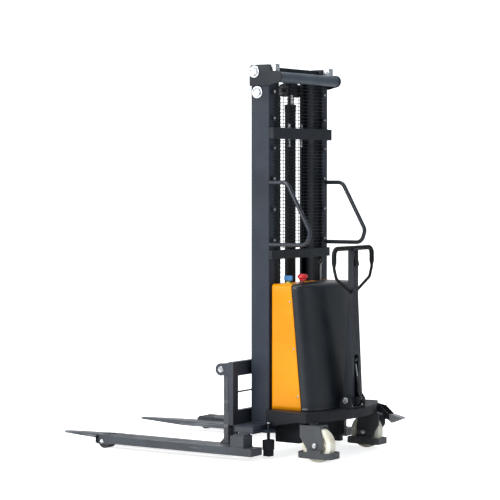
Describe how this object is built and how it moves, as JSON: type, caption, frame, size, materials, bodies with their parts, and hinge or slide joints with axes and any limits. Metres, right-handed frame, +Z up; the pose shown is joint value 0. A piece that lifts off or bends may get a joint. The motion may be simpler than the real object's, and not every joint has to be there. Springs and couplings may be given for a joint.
{
  "type": "walkie stacker",
  "caption": "Pedestrian stacker with two-stage mast, adjustable forks and straddle legs, tiller arm, swivel casters and covered power pack.",
  "frame": {"origin": "on the floor under the middle of the closed truck's outline, from brake pedal to fork tips", "axes": "+X forward to the fork tips, +Y to the truck's left, +Z up"},
  "size_m": [1.811, 1.087, 2.087],
  "materials": {
    "mast_paint": "satin",
    "frame_paint": "satin",
    "rail_paint": "satin",
    "bar_paint": "gloss",
    "tiller_paint": "satin",
    "carriage_paint": "satin",
    "fork_paint": "satin",
    "leg_paint": "satin",
    "caster_paint": "satin",
    "zinc": "satin",
    "bright_steel": "machined",
    "chain_steel": "oiled",
    "black_wire": "satin",
    "orange_cover": "gloss",
    "black_cover": "satin",
    "battery_case": "satin",
    "oil_tank": "translucent",
    "charger_case": "satin",
    "fitting_yellow": "satin",
    "estop_red": "gloss",
    "key_blue": "gloss",
    "handle_black": "satin",
    "gas_black": "gloss",
    "roller_nylon": "satin",
    "wheel_cream": "satin"
  },
  "bodies": {
    "truck": {"chassis_frame": "frame_paint", "cross_beam": "mast_paint", "mast_upright_left": "mast_paint", "mast_upright_right": "mast_paint", "head_plates": "mast_paint", "head_tube": "mast_paint", "mast_crossbars": "frame_paint", "mast_caps": "zinc", "mesh_guard": "black_wire", "guard_clips": "zinc", "grab_bar_left": "bar_paint", "grab_bar_right": "bar_paint", "front_cover": "orange_cover", "rear_cover": "black_cover", "cover_screws": "zinc", "battery": "battery_case", "oil_tank": "oil_tank", "pump_motor": "bright_steel", "charger": "charger_case", "cylinder_tube": "frame_paint", "chain_anchors": "zinc", "panel_fittings": "fitting_yellow", "tiller_base": "frame_paint", "base_bolts": "zinc", "chain_rear": "chain_steel"},
    "inner_mast": {"inner_rails": "rail_paint", "inner_crossbars": "rail_paint", "lift_rod": "bright_steel", "crosshead": "rail_paint", "chain_front": "chain_steel"},
    "chain_wheels": {"chain_wheels": "bright_steel"},
    "mast_rollers_low": {"mast_rollers_low": "bright_steel"},
    "mast_rollers_high": {"mast_rollers_high": "bright_steel"},
    "carriage": {"carriage_frame": "carriage_paint", "fork_shaft": "bright_steel"},
    "carriage_rollers_low": {"carriage_rollers_low": "bright_steel"},
    "carriage_rollers_high": {"carriage_rollers_high": "bright_steel"},
    "fork_left": {"fork_left": "fork_paint"},
    "fork_right": {"fork_right": "fork_paint"},
    "leg_left": {"leg_left": "leg_paint"},
    "leg_right": {"leg_right": "leg_paint"},
    "load_roller_left": {"load_roller_left": "roller_nylon"},
    "load_roller_right": {"load_roller_right": "roller_nylon"},
    "caster_left": {"caster_fork_left": "caster_paint"},
    "caster_right": {"caster_fork_right": "caster_paint"},
    "caster_wheel_left": {"caster_wheel_left": "wheel_cream"},
    "caster_wheel_right": {"caster_wheel_right": "wheel_cream"},
    "brake_pedal": {"brake_pedal": "zinc"},
    "tiller": {"tiller_arm": "tiller_paint", "tiller_handle": "handle_black"},
    "tiller_trigger": {"tiller_trigger": "handle_black"},
    "gas_tube": {"gas_spring_tube": "gas_black"},
    "gas_rod": {"gas_spring_rod": "bright_steel"},
    "estop_button": {"estop_button": "estop_red"},
    "switch_key": {"switch_key": "key_blue"},
    "lift_lever": {"lift_lever": "bright_steel"},
    "jack_left": {"jack_screw_left": "frame_paint"},
    "jack_right": {"jack_screw_right": "frame_paint"}
  },
  "joints": [
    {"name": "mast_lift", "type": "slide", "parent": "truck", "child": "inner_mast", "axis": [0, 0, 1], "range_m": [0, 1.5], "deforming": ["chain_rear"]},
    {"name": "carriage_lift", "type": "slide", "parent": "inner_mast", "child": "carriage", "axis": [0, 0, 1], "range_m": [0, 1.5], "deforming": ["chain_front"]},
    {"name": "chain_wheel_spin", "type": "hinge", "parent": "inner_mast", "child": "chain_wheels", "pos_m": [-0.3725, 0, 1.958], "axis": [0, 1, 0], "continuous": true},
    {"name": "mast_roller_low_spin", "type": "hinge", "parent": "inner_mast", "child": "mast_rollers_low", "pos_m": [-0.3715, 0, 0.24], "axis": [0, 1, 0], "continuous": true},
    {"name": "mast_roller_high_spin", "type": "hinge", "parent": "inner_mast", "child": "mast_rollers_high", "pos_m": [-0.3715, 0, 0.52], "axis": [0, 1, 0], "continuous": true},
    {"name": "carriage_roller_low_spin", "type": "hinge", "parent": "carriage", "child": "carriage_rollers_low", "pos_m": [-0.3675, 0, 0.288], "axis": [0, 1, 0], "continuous": true},
    {"name": "carriage_roller_high_spin", "type": "hinge", "parent": "carriage", "child": "carriage_rollers_high", "pos_m": [-0.3675, 0, 0.47], "axis": [0, 1, 0], "continuous": true},
    {"name": "fork_left_slide", "type": "slide", "parent": "carriage", "child": "fork_left", "axis": [0, 1, 0], "range_m": [-0.15, 0]},
    {"name": "fork_right_slide", "type": "slide", "parent": "carriage", "child": "fork_right", "axis": [0, 1, 0], "range_m": [0, 0.15]},
    {"name": "leg_left_slide", "type": "slide", "parent": "truck", "child": "leg_left", "axis": [0, 1, 0], "range_m": [0, 0.12]},
    {"name": "leg_right_slide", "type": "slide", "parent": "truck", "child": "leg_right", "axis": [0, 1, 0], "range_m": [-0.12, 0]},
    {"name": "load_roller_left_spin", "type": "hinge", "parent": "leg_left", "child": "load_roller_left", "pos_m": [0.5085, 0.489, 0.04], "axis": [0, 1, 0], "continuous": true},
    {"name": "load_roller_right_spin", "type": "hinge", "parent": "leg_right", "child": "load_roller_right", "pos_m": [0.5085, -0.489, 0.04], "axis": [0, 1, 0], "continuous": true},
    {"name": "caster_left_swivel", "type": "hinge", "parent": "truck", "child": "caster_left", "pos_m": [-0.7125, 0.316, 0.19], "axis": [0, 0, 1], "continuous": true},
    {"name": "caster_right_swivel", "type": "hinge", "parent": "truck", "child": "caster_right", "pos_m": [-0.7125, -0.316, 0.19], "axis": [0, 0, 1], "continuous": true},
    {"name": "wheel_left_spin", "type": "hinge", "parent": "caster_left", "child": "caster_wheel_left", "pos_m": [-0.7485, 0.316, 0.09], "axis": [0, 1, 0], "continuous": true},
    {"name": "wheel_right_spin", "type": "hinge", "parent": "caster_right", "child": "caster_wheel_right", "pos_m": [-0.6765, -0.316, 0.09], "axis": [0, 1, 0], "continuous": true},
    {"name": "brake_press", "type": "hinge", "parent": "truck", "child": "brake_pedal", "pos_m": [-0.8125, -0.316, 0.178], "axis": [0, -1, 0], "range_deg": [0, 15]},
    {"name": "tiller_tilt", "type": "hinge", "parent": "truck", "child": "tiller", "pos_m": [-0.7695, 0, 0.3], "axis": [0, -1, 0], "range_deg": [0, 80], "stiffness_Nm_per_rad": 160, "springref_deg": -17.19},
    {"name": "gas_spring_swing", "type": "hinge", "parent": "truck", "child": "gas_tube", "pos_m": [-0.8145, 0, 0.31], "axis": [0, -1, 0], "range_deg": [0, 95]},
    {"name": "gas_spring_stroke", "type": "slide", "parent": "gas_tube", "child": "gas_rod", "axis": [-0.1542, 0, -0.988], "range_m": [0, 0.039]},
    {"name": "trigger_pull", "type": "hinge", "parent": "tiller", "child": "tiller_trigger", "pos_m": [-0.778, 0, 1.082], "axis": [0, -1, 0], "range_deg": [0, 8], "stiffness_Nm_per_rad": 2, "springref_deg": -5.73},
    {"name": "estop_press", "type": "slide", "parent": "truck", "child": "estop_button", "axis": [0, 0, -1], "range_m": [0, 0.005], "stiffness_N_per_m": 1500, "springref_m": -0.002},
    {"name": "key_turn", "type": "hinge", "parent": "truck", "child": "switch_key", "pos_m": [-0.4915, 0.206, 0.922], "axis": [0, 0, 1], "range_deg": [0, 60]},
    {"name": "lift_lever_tilt", "type": "hinge", "parent": "truck", "child": "lift_lever", "pos_m": [-0.4895, -0.128, 0.888], "axis": [0, 1, 0], "range_deg": [-20, 20], "stiffness_Nm_per_rad": 6},
    {"name": "jack_left_screw", "type": "slide", "parent": "truck", "child": "jack_left", "axis": [0, 0, -1], "range_m": [-0.03, 0.013]},
    {"name": "jack_right_screw", "type": "slide", "parent": "truck", "child": "jack_right", "axis": [0, 0, -1], "range_m": [-0.03, 0.013]}
  ],
  "couplings": [
    {"joint": "carriage_lift", "follows": "mast_lift", "ratio": 1},
    {"joint": "chain_wheel_spin", "follows": "mast_lift", "rad_per_m": -31.447},
    {"joint": "mast_roller_low_spin", "follows": "mast_lift", "rad_per_m": -23.474},
    {"joint": "mast_roller_high_spin", "follows": "mast_lift", "rad_per_m": 23.474},
    {"joint": "carriage_roller_low_spin", "follows": "mast_lift", "rad_per_m": -28.09},
    {"joint": "carriage_roller_high_spin", "follows": "mast_lift", "rad_per_m": 28.09},
    {"joint": "gas_spring_swing", "follows": "tiller_tilt", "ratio": 1.1745},
    {"joint": "gas_spring_stroke", "follows": "tiller_tilt", "m_per_rad": 0.02712}
  ]
}
